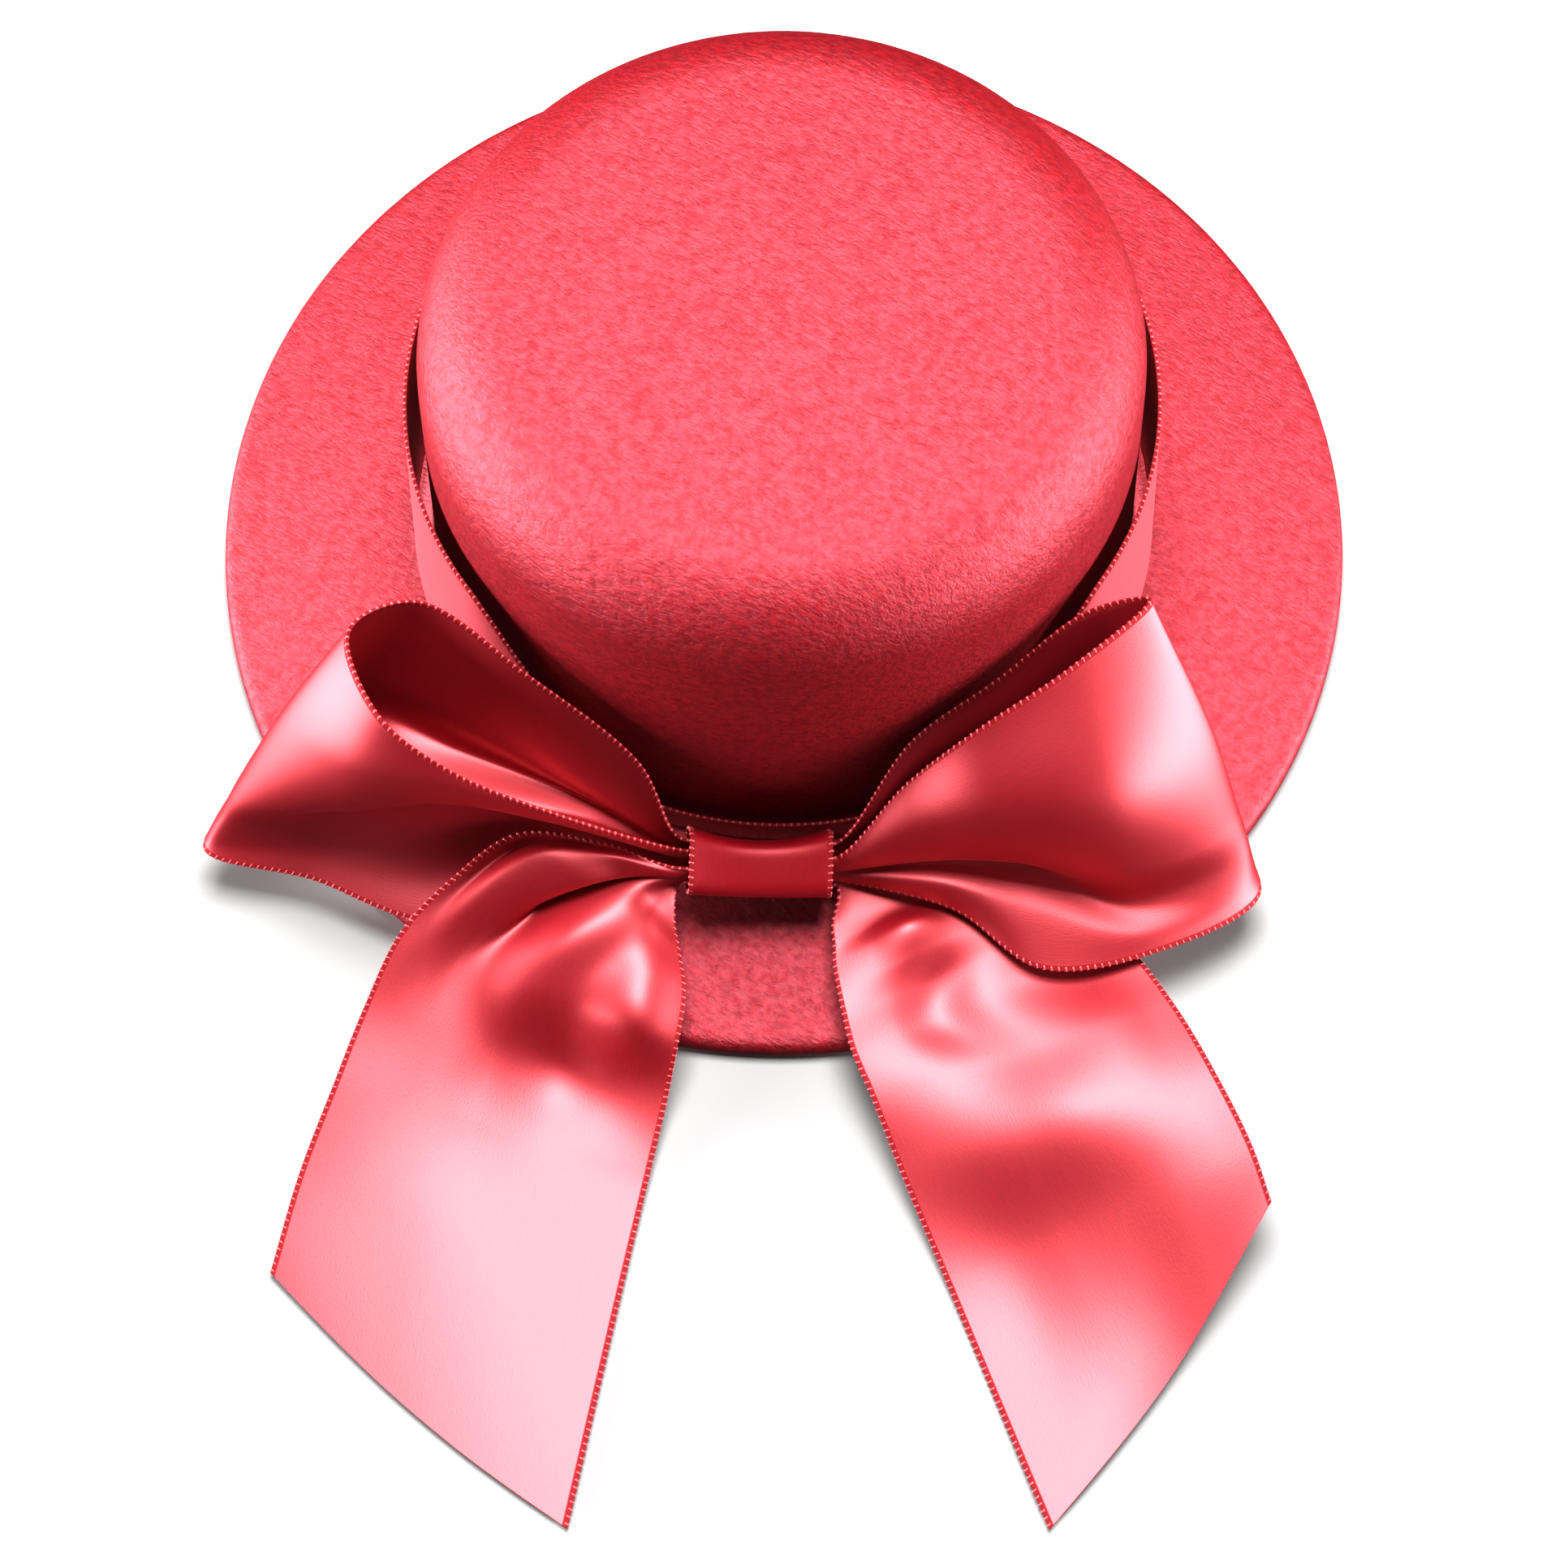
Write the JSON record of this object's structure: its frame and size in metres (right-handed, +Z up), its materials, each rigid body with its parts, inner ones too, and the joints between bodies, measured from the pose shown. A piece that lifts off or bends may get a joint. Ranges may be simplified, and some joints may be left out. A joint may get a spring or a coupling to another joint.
{
  "type": "fascinator",
  "caption": "Small felt hat fascinator with a flat-topped hollow crown, round sloping brim, satin ribbon band, tied bow with loops and slant-cut tails, and a hair clip.",
  "frame": {"origin": "middle of the footprint, on the surface that the hat lies on", "axes": "+Z up along the crown, -Y towards the front, where the bow is and its tails lie, +X to the right as seen from the front"},
  "size_m": [0.1304, 0.1838, 0.054],
  "materials": {
    "felt": "napped felt",
    "satin": "satin",
    "steel": "satin"
  },
  "bodies": {
    "root": {"felt_body": "felt", "ribbon_band": "satin", "bow_loop_left": "satin", "bow_loop_right": "satin", "bow_tail_left": "satin", "bow_tail_right": "satin", "bow_knot": "satin", "hair_clip": "steel"}
  },
  "joints": []
}
